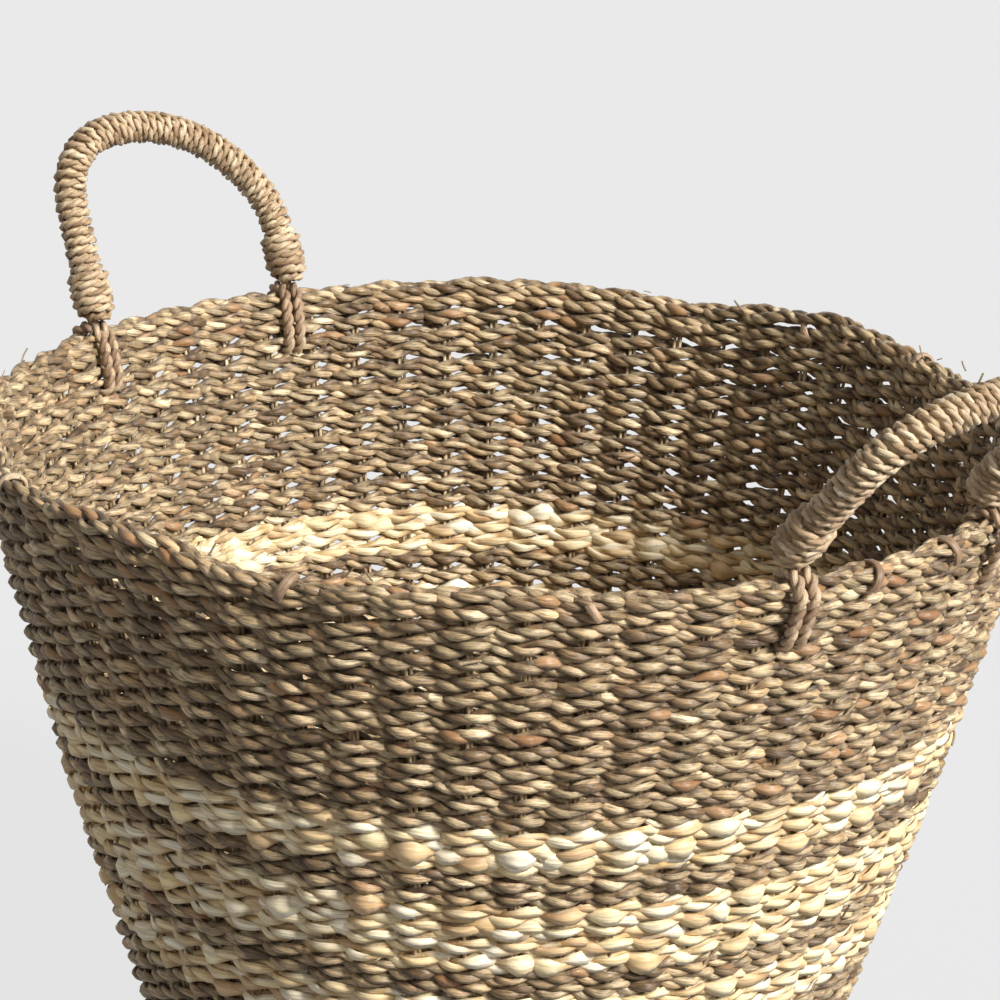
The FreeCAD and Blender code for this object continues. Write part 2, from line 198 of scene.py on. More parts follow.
def new_tree(name, inputs):
    """A geometry tree with named inputs; returns the tree and its inputs as fields by name."""
    tree = bpy.data.node_groups.new(name, "GeometryNodeTree")
    for label, kind, value in inputs:
        socket = tree.interface.new_socket(label, in_out="INPUT", socket_type="NodeSocket" + kind)
        if value is not None:
            socket.default_value = value
    tree.interface.new_socket("Mesh", in_out="OUTPUT", socket_type="NodeSocketGeometry")
    entry = tree.nodes.new("NodeGroupInput")
    return tree, {s.name: Field(tree, s) for s in entry.outputs if s.name}


def finish_tree(tree, geometry, material):
    """Smooth shading, real instances, the material, and out."""
    smooth = add_node(tree, "GeometryNodeSetShadeSmooth", Geometry=geometry)
    real = add_node(tree, "GeometryNodeRealizeInstances", Geometry=smooth.outputs[0])
    painted = add_node(tree, "GeometryNodeSetMaterial", Geometry=real.outputs[0], Material=material)
    leave = tree.nodes.new("NodeGroupOutput")
    tree.links.new(painted.outputs[0], leave.inputs[0])


def grow(name, tree, values, start=None):
    """Run a tree on an empty mesh (or on start) and keep the result as a plain mesh object."""
    carrier = start or bpy.data.objects.new(name, bpy.data.meshes.new(name))
    if carrier.name not in bpy.context.scene.collection.objects:
        bpy.context.scene.collection.objects.link(carrier)
    modifier = carrier.modifiers.new("grow", "NODES")
    modifier.node_group = tree
    identifiers = {s.name: s.identifier for s in tree.interface.items_tree if s.in_out == "INPUT"}
    for label, value in values.items():
        modifier[identifiers[label]] = value
    bpy.context.view_layer.update()
    evaluated = carrier.evaluated_get(bpy.context.evaluated_depsgraph_get())
    mesh = bpy.data.meshes.new_from_object(evaluated)
    bpy.data.objects.remove(carrier)
    mesh.name = name
    piece = bpy.data.objects.new(name, mesh)
    bpy.context.scene.collection.objects.link(piece)
    triangles = sum(len(face.vertices) - 2 for face in mesh.polygons)
    print("%-30s %7d triangles" % (name, triangles))
    return piece


# %% [markdown]
# ## What seagrass looks like
# A ply of seagrass is a leaf rolled into a thin strand. Its colour changes from strand to strand,
# from grey-green through khaki to brown, with a rusty one now and then. Fine streaks run along it
# and it has a low sheen. The trees store attributes on every strand, and the materials read them:
# tone and tint (two random numbers for each visible lozenge), along (metres along the strand),
# section (where round the strand a point is), and in the rows how far a ply has gone in between its
# neighbours, which the material turns into painted shade. So the streaks follow the strand wherever it goes.

# %% Fibre materials
def ramp(tree, factor, stops):
    node = tree.nodes.new("ShaderNodeValToRGB")
    points = node.color_ramp.elements
    while len(points) < len(stops):
        points.new(0.5)
    for point, (place, colour) in zip(points, stops):
        point.position = place
        point.color = (*colour, 1.0)
    tree.links.new(factor, node.inputs[0])
    return node.outputs[0]


def attribute(tree, name):
    return add_node(tree, "ShaderNodeAttribute", {"attribute_name": name})


def blend_colours(tree, mode, factor, first, second):
    node = tree.nodes.new("ShaderNodeMix")
    node.data_type = "RGBA"
    node.blend_type = mode
    slots = {s.identifier: s for s in node.inputs}
    connect(tree, factor, slots["Factor_Float"])
    connect(tree, first, slots["A_Color"])
    connect(tree, second, slots["B_Color"])
    return [s for s in node.outputs if s.enabled][0]


def fibre_material(name, tones, streak_depth, streak_size, roughness, bump, rust=0.0,
                   rust_colour=(0.34, 0.16, 0.06), painted_tuck_shade_colour=(0.38, 0.32, 0.27)):
    """Grass or leaf: a colour for each lozenge, streaks along the strand, painted shade where a ply tucks in
    between its neighbours, and low sheen.
    """
    material = bpy.data.materials.new(name)
    material.use_nodes = True
    tree = material.node_tree
    surface = tree.nodes["Principled BSDF"]
    tone = attribute(tree, "tone").outputs["Fac"]
    tint = attribute(tree, "tint").outputs["Fac"]
    along = Field(tree, attribute(tree, "along").outputs["Fac"])
    x, y, z = parts_of(tree, attribute(tree, "section").outputs["Vector"])
    shift = Field(tree, tone) * 7.0
    lane = vector_of(tree, x * 1.6 + shift, y * 1.6, along * streak_size + z)
    streaks = add_node(tree, "ShaderNodeTexNoise", Vector=lane, Scale=2.6, Detail=3.0, Roughness=0.6)
    patches = add_node(tree, "ShaderNodeTexNoise", Vector=lane, Scale=0.55, Detail=1.0)
    base = ramp(tree, tone, tones)
    mottled = blend_colours(tree, "OVERLAY", 0.5, base, ramp(
        tree, patches.outputs["Fac"], [(0.35, (0.32, 0.31, 0.29)), (0.65, (0.68, 0.69, 0.71))]))
    lines = ramp(tree, streaks.outputs["Fac"], [(0.36, (1 - streak_depth,) * 3), (0.58, (1.0, 1.0, 1.0))])
    streaked = blend_colours(tree, "MULTIPLY", 1.0, mottled, lines)
    # Painted shade: the colour darkens where a ply has gone in between its neighbours, standing in for the
    # shadow in those crevices.
    painted_tuck_shade = ramp(tree, attribute(tree, "painted_tuck_shade").outputs["Fac"],
                  [(0.5, (1.0, 1.0, 1.0)), (1.0, painted_tuck_shade_colour)])
    streaked = blend_colours(tree, "MULTIPLY", 1.0, streaked, painted_tuck_shade)
    if rust:
        rusty = Field(tree, tint).math("GREATER_THAN", 1.0 - rust)
        streaked = blend_colours(tree, "MIX", (rusty * 0.6).socket, streaked, (*rust_colour, 1.0))
    tree.links.new(streaked, surface.inputs["Base Color"])
    surface.inputs["Roughness"].default_value = roughness
    surface.inputs["Specular IOR Level"].default_value = 0.5
    surface.inputs["Sheen Weight"].default_value = 0.12
    surface.inputs["Sheen Roughness"].default_value = 0.5
    relief = add_node(tree, "ShaderNodeBump", Strength=bump, Distance=0.0006,
                      Height=streaks.outputs["Fac"])
    tree.links.new(relief.outputs[0], surface.inputs["Normal"])
    return material


SEAGRASS_TONES = [
    (0.00, (0.160, 0.090, 0.038)),
    (0.20, (0.330, 0.215, 0.105)),
    (0.42, (0.440, 0.325, 0.175)),
    (0.64, (0.580, 0.425, 0.240)),
    (0.82, (0.470, 0.310, 0.150)),
    (1.00, (0.860, 0.665, 0.400)),
]
LEAF_TONES = [
    (0.00, (0.640, 0.440, 0.220)),
    (0.30, (0.840, 0.650, 0.370)),
    (0.65, (0.920, 0.770, 0.490)),
    (1.00, (0.950, 0.830, 0.580)),
]
STRAW_TONES = [
    (0.00, (0.300, 0.185, 0.090)),
    (0.35, (0.450, 0.305, 0.170)),
    (0.70, (0.570, 0.420, 0.255)),
    (1.00, (0.700, 0.555, 0.360)),
]
TIE_TONES = [
    (0.00, (0.260, 0.150, 0.080)),
    (0.50, (0.420, 0.280, 0.165)),
    (1.00, (0.560, 0.410, 0.250)),
]
seagrass = fibre_material("twisted_seagrass", SEAGRASS_TONES, 0.6, 90.0, 0.40, 1.0, rust=0.04)
rim_grass = fibre_material("rim_seagrass", SEAGRASS_TONES, 0.6, 70.0, 0.40, 1.0, rust=0.03)
pale_leaf = fibre_material("pale_leaf", LEAF_TONES, 0.40, 30.0, 0.55, 0.8, rust=0.02,
                           rust_colour=(0.50, 0.30, 0.12), painted_tuck_shade_colour=(0.70, 0.58, 0.44))
stake_grass = fibre_material("stake_grass", SEAGRASS_TONES, 0.5, 60.0, 0.6, 0.6)
straw_cord = fibre_material("straw_cord", STRAW_TONES, 0.35, 120.0, 0.5, 0.6)
tie_grass = fibre_material("tie_grass", TIE_TONES, 0.45, 100.0, 0.5, 0.7)
print("fibre materials:", [m.name for m in bpy.data.materials])

# %% [markdown]
# ## Twining a row
# A twined row is two cords that swap sides at every stake: one passes outside while the other
# passes inside, and between two stakes they cross, one above the other. Each cord is itself three
# plies twisted together. So a ply's path is a ring with two circular motions added: the cord's
# slow one round the stakes, and the ply's quick one round the cord. A negative Stack turns the
# cords against their plies, as a laid rope does, and the plies then show as slanting lozenges. The
# tree starts from one flat ring, copies it once for each ply of each row, and moves the points by
# that formula.

# %% The tree that twines rows
ROW_INPUTS = [
    ("Rows", "Int", 1), ("Cords", "Int", 2), ("Plies", "Int", 3), ("Stakes", "Int", STAKES),
    ("Steps", "Int", 8), ("First Depth", "Float", 0.0), ("Pitch", "Float", 0.008),
    ("Swing", "Float", 0.0030), ("Stack", "Float", -0.0017), ("Ply Offset", "Float", 0.0016),
    ("Ply Width", "Float", 0.0031), ("Ply Thickness", "Float", 0.0025),
    ("Twist Length", "Float", 0.0260), ("Unevenness", "Float", 0.0020), ("Size Change", "Float", 0.30),
    ("Broad Leaf", "Float", 0.0), ("Taper", "Float", 0.35),
    ("Wave", "Float", 0.0026), ("Wave Fade", "Float", 0.11),
    ("Flat", "Float", 0.0), ("Flat Height", "Float", 0.004), ("Seed", "Int", 1),
    ("Material", "Material", None),
]


def twined_rows_tree():
    tree, take = new_tree("twined_rows", ROW_INPUTS)
    ring = add_node(tree, "GeometryNodeCurvePrimitiveCircle", {"mode": "RADIUS"}, Radius=1.0,
                    Resolution=take["Stakes"] * take["Steps"])
    strands = take["Rows"] * take["Cords"] * take["Plies"]
    copies = add_node(tree, "GeometryNodeDuplicateElements", {"domain": "SPLINE"},
                      Geometry=ring.outputs["Curve"], Amount=strands)
    strand = Field(tree, copies.outputs["Duplicate Index"])
    per_row = take["Cords"] * take["Plies"]
    row = (strand / per_row).floor()
    cord = (strand.modulo(per_row) / take["Plies"]).floor()
    ply = strand.modulo(take["Plies"])

    here = tree.nodes.new("GeometryNodeInputPosition").outputs[0]
    x, y, z = parts_of(tree, here)
    angle = y.math("ARCTAN2", x)
    lanes = vector_of(tree, x, y, (row * 1.7 + cord * 0.37) + take["Seed"])
    slow_a, slow_b, slow_c = noise_fields(tree, lanes, 1.6)
    quick_a, quick_b, quick_c = noise_fields(tree, vector_of(tree, x, y, strand * 3.1 + take["Seed"]), 9.0)

    flat = take["Flat"]
    depth = take["First Depth"] + (row + 0.5) * take["Pitch"]
    ring_radius = (RIM_RADIUS - depth * WALL_SLOPE - depth * depth * WALL_BULGE) * (1.0 - flat) \
        + flat * (RIM_RADIUS - depth)
    around_stakes = angle * take["Stakes"] * 0.5 + cord * math.pi
    twists = (ring_radius * math.tau / take["Twist Length"]).round()
    twist = angle * twists + ply * math.tau / take["Plies"] + cord * 1.9 + quick_c * 2.4
    lozenge = (twist / math.pi + 0.5).floor() + strand * 997.0
    tone, tint = random_field(tree, lozenge, take["Seed"]), random_field(tree, lozenge, take["Seed"] + 5.0)
    fullness = twist.cos() * twist.cos()
    swing = around_stakes.cos() * take["Swing"] + twist.cos() * take["Ply Offset"] \
        + slow_a * take["Unevenness"] * 1.5 + quick_a * take["Unevenness"] * 0.4
    rise = (around_stakes.sin() * take["Stack"] + twist.sin() * take["Ply Offset"]) * -1.0 \
        + slow_b * take["Unevenness"] * 2.0 + quick_b * take["Unevenness"] * 0.9
    true_depth = depth - rise
    upright_radius = RIM_RADIUS - true_depth * WALL_SLOPE - true_depth * true_depth * WALL_BULGE + swing
    flat_radius = RIM_RADIUS - true_depth
    radius = upright_radius * (1.0 - flat) + flat_radius * flat
    calm_at_handles = angle.sin() * angle.sin() * (1.0 - depth / take["Wave Fade"]).math("MAXIMUM", 0.0)
    wave = (((angle - 2.4) * 8.0).cos() + slow_c * 4.0) * take["Wave"] * calm_at_handles
    level = (HEIGHT - true_depth + wave) * (1.0 - flat) + (take["Flat Height"] - swing) * flat
    moved = add_node(tree, "GeometryNodeSetPosition", Geometry=copies.outputs["Geometry"],
                     Position=vector_of(tree, angle.cos() * radius, angle.sin() * radius, level))

    geometry = store(tree, moved.outputs[0], "tone", tone)
    geometry = store(tree, geometry, "tint", tint)
    # The mask for painted shade: how far each ply has gone in between its neighbours.
    geometry = store(tree, geometry, "painted_tuck_shade", fullness * -1.0 + 1.0)
    geometry = store(tree, geometry, "along", angle * ring_radius)
    broad = (tint - 0.7).math("MAXIMUM", 0.0) * fullness * take["Broad Leaf"] * 3.3
    fatness = (tint - 0.5) * fullness * take["Size Change"] * 2.0 \
        + (fullness - 0.5) * take["Taper"] + broad + 1.0
    sized = add_node(tree, "GeometryNodeSetCurveRadius", Curve=geometry, Radius=fatness)
    upright = add_node(tree, "GeometryNodeSetCurveNormal", {"mode": "Z_UP"}, Curve=sized.outputs[0])

    section = add_node(tree, "GeometryNodeCurvePrimitiveCircle", {"mode": "RADIUS"}, Radius=0.5, Resolution=5)
    spot = tree.nodes.new("GeometryNodeInputPosition").outputs[0]
    marked = store(tree, section.outputs["Curve"], "section", spot, "FLOAT_VECTOR")
    shaped = add_node(tree, "GeometryNodeTransform", Geometry=marked,
                      Scale=vector_of(tree, take["Ply Thickness"], take["Ply Width"], 1.0))
    tubes = add_node(tree, "GeometryNodeCurveToMesh", Curve=upright.outputs[0],
                     Profile_Curve=shaped.outputs[0])
    radius_node = tree.nodes.new("GeometryNodeInputRadius")
    connect(tree, radius_node.outputs[0], tubes.inputs["Scale"])
    finish_tree(tree, tubes.outputs[0], take["Material"])
    return tree


row_tree = twined_rows_tree()
print("twined_rows has", len(row_tree.nodes), "nodes")

# %% [markdown]
# ## The wall, band by band
# The frame has one ring for each band of the wall. Each ring is replaced by its own rows, which
# fill the same depth. A tall band is made as three pieces, so that no mesh gets too heavy. Seagrass
# rows are two cords of three plies. Pale rows are twined the same way from thinner, flatter
# leaf, with a longer twist, and here and there one leaf opens out broad.

# %% Twine the wall
SEAGRASS_ROW = {"Material": seagrass}
LEAF_ROW = {
    "Ply Width": 0.0035, "Ply Thickness": 0.0016, "Twist Length": 0.036, "Unevenness": 0.0026,
    "Size Change": 0.2, "Broad Leaf": 1.6, "Taper": 0.45, "Material": pale_leaf,
}
WALL_BANDS = [
    # node, rows in each piece, kind of row
    ("upper_wall_rows", (4, 4, 4), SEAGRASS_ROW),
    ("pale_band_upper", (3,), LEAF_ROW),
    ("brown_band_upper", (2,), SEAGRASS_ROW),
    ("pale_band_middle", (4,), LEAF_ROW),
    ("brown_band_lower", (2,), SEAGRASS_ROW),
    ("pale_band_lower", (3,), LEAF_ROW),
    ("lower_wall_rows", (5, 4, 4), SEAGRASS_ROW),
]
wall_pieces = []
top_depth = RIM_CORD
for band_number, (node, row_counts, kind) in enumerate(WALL_BANDS):
    bottom_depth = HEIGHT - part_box(node)[0].z
    pitch = (bottom_depth - top_depth) / sum(row_counts)
    for piece_number, rows in enumerate(row_counts):
        values = dict(kind)
        values.update({"Rows": rows, "First Depth": top_depth, "Pitch": pitch,
                       "Seed": band_number * 10 + piece_number + 1})
        piece = grow("%s_%s" % (node, "abc"[piece_number]), row_tree, values)
        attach(piece, "basket")
        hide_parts(node)
        wall_pieces.append(piece)
        top_depth += rows * pitch
print("wall pieces:", len(wall_pieces), "down to depth %.4f" % top_depth)

# %% [markdown]
# ## Base, foot and rim
# The base is the same twining laid flat, so the same tree makes it with its Flat input at one.
# There the depth counts inward from the rim's radius. The foot is one thick row that turns the
# corner, and the rim is one tight, thick row.

# %% Twine the base, the foot and the rim
base_low, base_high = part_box("base_rows")
centre_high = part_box("base_centre")[1]
base_middle = (base_low.z + base_high.z) / 2
base_span = base_high.x - centre_high.x
BASE_ROWS = {"outer": 9, "inner": 8}
BASE_LIFT = 0.0007  # keeps the lowest plies off the floor
BASE_PLY = {"Flat": 1.0, "Flat Height": base_middle + BASE_LIFT, "Stakes": SPOKES, "Swing": 0.0017,
            "Ply Offset": 0.0013, "Twist Length": 0.020, "Unevenness": 0.0008, "Material": seagrass}


def flat_rows(name, node, outer, rows, pitch, steps, seed):
    values = dict(BASE_PLY)
    values.update({"Rows": rows, "First Depth": RIM_RADIUS - outer, "Pitch": pitch,
                   "Steps": steps, "Seed": seed})
    piece = grow(name, row_tree, values)
    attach(piece, "basket")
    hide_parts(node)


base_pitch = base_span / sum(BASE_ROWS.values())
middle_reach = base_high.x - BASE_ROWS["outer"] * base_pitch
flat_rows("base_rows_outer", "base_rows", base_high.x, BASE_ROWS["outer"], base_pitch, 12, 90)
flat_rows("base_rows_inner", "base_rows", middle_reach, BASE_ROWS["inner"], base_pitch, 8, 92)
flat_rows("base_centre_woven", "base_centre", centre_high.x, 5, centre_high.x / 5.2, 4, 95)

foot_row = grow("foot_row_woven", row_tree, {
    "Plies": 2, "First Depth": HEIGHT - foot_high.z, "Pitch": foot_high.z, "Swing": 0.0032,
    "Stack": 0.0014, "Ply Offset": 0.0016, "Ply Width": 0.0040, "Ply Thickness": 0.0040,
    "Unevenness": 0.0006, "Twist Length": 0.020, "Size Change": 0.15, "Seed": 97, "Material": seagrass,
})
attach(foot_row, "basket")
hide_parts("foot_row")

rim_row = grow("rim_border_woven", row_tree, {
    "Rows": 2, "First Depth": 0.0004, "Pitch": RIM_CORD / 2, "Swing": 0.0026, "Stack": -0.0012,
    "Ply Width": 0.0032, "Ply Thickness": 0.0028, "Unevenness": 0.0015, "Twist Length": 0.0240, "Seed": 3,
    "Material": rim_grass,
})
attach(rim_row, "basket")
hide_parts("rim_border")

# %% [markdown]
# ## Stakes
# The stakes are bundles of thin grass strands that stand between the two cords of every row. They
# show only in the gaps, so thin tubes with a slight wander are enough. One upright line is copied
# once for each strand and bent to the wall's profile. The same tree lays the spokes in the base.

# %% The tree that stands stakes up
STAKE_INPUTS = [
    ("Stakes", "Int", STAKES), ("Strands", "Int", 3),
    ("Top Depth", "Float", 0.0), ("Bottom Depth", "Float", 0.3),
    ("Strand Thickness", "Float", 0.0015), ("Spread", "Float", 0.0014), ("Flat", "Float", 0.0),
    ("Flat Height", "Float", 0.004), ("Points", "Int", 36), ("Seed", "Int", 1),
    ("Material", "Material", None),
]


def stakes_tree():
    tree, take = new_tree("stakes", STAKE_INPUTS)
    line = add_node(tree, "GeometryNodeCurvePrimitiveLine", {"mode": "POINTS"},
                    Start=(0, 0, 0), End=(0, 0, 1))
    cut_up = add_node(tree, "GeometryNodeResampleCurve", {"mode": "COUNT"}, Curve=line.outputs[0],
                      Count=take["Points"])
    copies = add_node(tree, "GeometryNodeDuplicateElements", {"domain": "SPLINE"},
                      Geometry=cut_up.outputs[0], Amount=take["Stakes"] * take["Strands"])
    strand = Field(tree, copies.outputs["Duplicate Index"])
    stake = (strand / take["Strands"]).floor()
    place_in_bundle = strand.modulo(take["Strands"]) * (math.tau / 3)
    part_way = parts_of(tree, tree.nodes.new("GeometryNodeInputPosition").outputs[0])[2]
    depth = take["Bottom Depth"] + part_way * (take["Top Depth"] - take["Bottom Depth"])
    wander_a, wander_b, wander_c = noise_fields(
        tree, vector_of(tree, stake * 2.3, part_way * 4.0, take["Seed"] + strand * 0.21), 1.3)
    flat = take["Flat"]
    upright = RIM_RADIUS - depth * WALL_SLOPE - depth * depth * WALL_BULGE
    radius = upright * (1.0 - flat) + (RIM_RADIUS - depth) * flat \
        + place_in_bundle.cos() * take["Spread"] * 0.5 * (1.0 - flat)
    sideways = place_in_bundle.sin() * take["Spread"] + wander_a * 0.004 + wander_b * 0.002 * flat
    angle = stake * math.tau / take["Stakes"] + sideways / upright
    level = (HEIGHT - depth) * (1.0 - flat) + (take["Flat Height"] + wander_c * 0.001) * flat
    moved = add_node(tree, "GeometryNodeSetPosition", Geometry=copies.outputs["Geometry"],
                     Position=vector_of(tree, angle.cos() * radius, angle.sin() * radius, level))
    geometry = store(tree, moved.outputs[0], "tone", random_field(tree, strand, take["Seed"]))
    geometry = store(tree, geometry, "tint", random_field(tree, strand, take["Seed"] + 3.0))
    geometry = store(tree, geometry, "along", depth)
    section = add_node(tree, "GeometryNodeCurvePrimitiveCircle", {"mode": "RADIUS"}, Radius=0.5, Resolution=5)
    spot = tree.nodes.new("GeometryNodeInputPosition").outputs[0]
    marked = store(tree, section.outputs["Curve"], "section", spot, "FLOAT_VECTOR")
    shaped = add_node(tree, "GeometryNodeTransform", Geometry=marked,
                      Scale=vector_of(tree, take["Strand Thickness"], take["Strand Thickness"], 1.0))
    tubes = add_node(tree, "GeometryNodeCurveToMesh", Curve=geometry, Profile_Curve=shaped.outputs[0],
                     Fill_Caps=True)
    finish_tree(tree, tubes.outputs[0], take["Material"])
    return tree


stake_tree = stakes_tree()
wall_stakes = grow("wall_stakes_bundles", stake_tree, {
    "Top Depth": RIM_CORD * 0.7, "Bottom Depth": HEIGHT - foot_high.z / 2, "Seed": 7,
    "Material": stake_grass})
base_spokes = grow("base_spokes_bundles", stake_tree, {
    "Stakes": SPOKES, "Top Depth": RIM_RADIUS - base_high.x, "Bottom Depth": RIM_RADIUS - centre_high.x,
    "Flat": 1.0, "Flat Height": base_middle, "Points": 12, "Seed": 8, "Material": stake_grass})
for piece, node in ((wall_stakes, "wall_stakes"), (base_spokes, "base_spokes")):
    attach(piece, "basket")
    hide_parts(node)

# %% [markdown]
# ## Stake ends and stray fibres
# Now and then a stake's end is bent over the rim and tucked back in, and short fibres stick out
# of the weave all over. Both are one small strand scattered on points: on the rim's circle for
# the bent ends, and at random angles and depths for the fibres.

# %% The trees that bend ends over the rim and scatter fibres
LOOP_INPUTS = [
    ("Stakes", "Int", STAKES), ("Chance", "Float", 0.16), ("Loop Radius", "Float", 0.0052),
    ("Strand Width", "Float", 0.0034), ("Strand Thickness", "Float", 0.0018), ("Seed", "Int", 1),
    ("Material", "Material", None),
]
FIBRE_INPUTS = [
    ("Count", "Int", 160), ("First Depth", "Float", 0.0), ("Last Depth", "Float", 0.28),
    ("Stand Off", "Float", 0.0046), ("Length", "Float", 0.0065),
    ("Lift", "Float", 0.6), ("Seed", "Int", 1), ("Material", "Material", None),
]


def strand_tube(tree, curve, width, thickness, sides):
    """A closed tube round a curve, marked with where round the strand each point is."""
    section = add_node(tree, "GeometryNodeCurvePrimitiveCircle", {"mode": "RADIUS"},
                       Radius=0.5, Resolution=sides)
    spot = tree.nodes.new("GeometryNodeInputPosition").outputs[0]
    marked = store(tree, section.outputs["Curve"], "section", spot, "FLOAT_VECTOR")
    shaped = add_node(tree, "GeometryNodeTransform", Geometry=marked,
                      Scale=vector_of(tree, width, thickness, 1.0))
    part_way = tree.nodes.new("GeometryNodeSplineParameter").outputs["Length"]
    measured = store(tree, curve, "along", part_way)
    return add_node(tree, "GeometryNodeCurveToMesh", Curve=measured, Profile_Curve=shaped.outputs[0],
                    Fill_Caps=True).outputs[0]


def scatter(tree, points, strand, rotation, size, seed):
    """The strand on every point, each with its own tone."""
    index = tree.nodes.new("GeometryNodeInputIndex").outputs[0]
    placed = add_node(tree, "GeometryNodeInstanceOnPoints", Points=points, Instance=strand,
                      Rotation=rotation, Scale=size)
    toned = add_node(tree, "GeometryNodeStoreNamedAttribute", {"data_type": "FLOAT", "domain": "INSTANCE"},
                     Geometry=placed.outputs[0], Name="tone")
    tone_slot = [s for s in toned.inputs if s.name == "Value" and s.enabled][0]
    connect(tree, random_field(tree, index, seed), tone_slot)
    return toned.outputs[0]


def bent_ends_tree():
    tree, take = new_tree("bent_stake_ends", LOOP_INPUTS)
    points = add_node(tree, "GeometryNodeMeshCircle", Vertices=take["Stakes"], Radius=1.0).outputs[0]
    index = tree.nodes.new("GeometryNodeInputIndex").outputs[0]
    seed = take["Seed"]
    kept = add_node(tree, "GeometryNodeDeleteGeometry", {"domain": "POINT"}, Geometry=points,
                    Selection=random_field(tree, index, seed).math("GREATER_THAN", take["Chance"]))
    x, y, z = parts_of(tree, tree.nodes.new("GeometryNodeInputPosition").outputs[0])
    angle = y.math("ARCTAN2", x)
    rim_points = add_node(tree, "GeometryNodeSetPosition", Geometry=kept.outputs[0], Position=vector_of(
        tree, x * RIM_RADIUS, y * RIM_RADIUS, x * 0.0 + (HEIGHT - RIM_CORD / 2)))
    arc = add_node(tree, "GeometryNodeCurveArc", {"mode": "RADIUS"}, Resolution=16,
                   Radius=take["Loop Radius"], Start_Angle=math.radians(-40), Sweep_Angle=math.radians(260))
    stood = add_node(tree, "GeometryNodeTransform", Geometry=arc.outputs[0], Rotation=(math.pi / 2, 0, 0))
    strand = strand_tube(tree, stood.outputs[0], take["Strand Width"], take["Strand Thickness"], 8)
    lean = random_field(tree, index, seed + 2.0) * 1.4 - 0.7
    turned = vector_of(tree, lean, 0.0, angle)
    size = random_field(tree, index, seed + 3.0) * 0.16 + 0.96
    loops = scatter(tree, rim_points.outputs[0], strand, turned, size.socket, seed + 4.0)
    finish_tree(tree, loops, take["Material"])
    return tree


def fibres_tree():
    tree, take = new_tree("stray_fibres", FIBRE_INPUTS)
    line = add_node(tree, "GeometryNodeMeshLine", Count=take["Count"]).outputs[0]
    index = tree.nodes.new("GeometryNodeInputIndex").outputs[0]
    picks = [random_field(tree, index, take["Seed"] + float(k)) for k in range(7)]
    angle = picks[0] * math.tau
    depth = take["First Depth"] + picks[1] * (take["Last Depth"] - take["First Depth"])
    side = (picks[2] - 0.5).math("SIGN")
    radius = RIM_RADIUS - depth * WALL_SLOPE - depth * depth * WALL_BULGE + side * take["Stand Off"]
    points = add_node(tree, "GeometryNodeSetPosition", Geometry=line, Position=vector_of(
        tree, angle.cos() * radius, angle.sin() * radius, HEIGHT - depth))
    bow = add_node(tree, "GeometryNodeCurveQuadraticBezier", Resolution=6, Start=(0, 0, 0),
                   Middle=(0.5, 0.0, 0.05), End=(1.0, 0.0, 0.35))
    strand = strand_tube(tree, bow.outputs[0], 0.13, 0.10, 5)
    lift = picks[3] * take["Lift"] * -1.0
    heading = angle + math.pi / 2 * (side * -1.0) * (picks[4] - 0.5).math("SIGN") + (picks[5] - 0.5) * 0.9
    turned = vector_of(tree, picks[6] * math.tau, lift, heading)
    size = take["Length"] * (picks[5] + 0.5)
    finish_tree(tree, scatter(tree, points.outputs[0], strand, turned, size.socket, take["Seed"] + 9.0),
                take["Material"])
    return tree


# %% Bend ends over the rim, and scatter fibres
bent_ends = grow("bent_stake_ends", bent_ends_tree(), {"Seed": 4, "Material": tie_grass})
stray_tree = fibres_tree()
stray_fibres = grow("stray_fibres", stray_tree, {"Seed": 11, "Material": seagrass})
rim_fibres = grow("rim_fibres", stray_tree, {
    "Count": 60, "Last Depth": 0.006, "Stand Off": 0.003, "Length": 0.005, "Lift": 1.0, "Seed": 12,
    "Material": rim_grass})
for piece, kind in ((bent_ends, "rim_cord"), (stray_fibres, "seagrass"), (rim_fibres, "rim_cord")):
    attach(piece, "basket")

# %% [markdown]
# ## Winding cord on a handle
# A handle is a grass rope bent into a hoop and wrapped end to end in pale cord. Each turn lies
# against the last, so the wrapping is one long helix round the hoop's centreline, and the cord
# itself is two twisted plies. The hoop is flat, so the plane's normal and the path's own tangent
# give every direction that the helix needs. The same tree winds the whipping at the feet.

# %% The tree that winds cord on a path
WOUND_INPUTS = [
    ("Path", "Geometry", None),
    ("Normal X", "Float", 0.0), ("Normal Y", "Float", 1.0), ("Normal Z", "Float", 0.0),
    ("Length", "Float", 0.2), ("Turns", "Int", 50), ("Steps", "Int", 14), ("Wound Radius", "Float", 0.0054),
    ("Round Start", "Float", 0.0), ("Plies", "Int", 2), ("Ply Offset", "Float", 0.0009),
    ("Ply Size", "Float", 0.0023), ("Twists A Turn", "Float", 3.3), ("Slant", "Float", 0.0),
    ("Seed", "Int", 1), ("Material", "Material", None),
]


def cross_vectors(tree, first, second):
    node = tree.nodes.new("ShaderNodeVectorMath")
    node.operation = "CROSS_PRODUCT"
    tree.links.new(first, node.inputs[0])
    tree.links.new(second, node.inputs[1])
    return node.outputs[0]


def scaled(tree, vector, amount):
    node = tree.nodes.new("ShaderNodeVectorMath")
    node.operation = "SCALE"
    tree.links.new(vector, node.inputs[0])
    connect(tree, amount, [s for s in node.inputs if s.name == "Scale"][0])
    return node.outputs[0]


def added(tree, *vectors):
    total = vectors[0]
    for vector in vectors[1:]:
        node = tree.nodes.new("ShaderNodeVectorMath")
        tree.links.new(total, node.inputs[0])
        tree.links.new(vector, node.inputs[1])
        total = node.outputs[0]
    return total


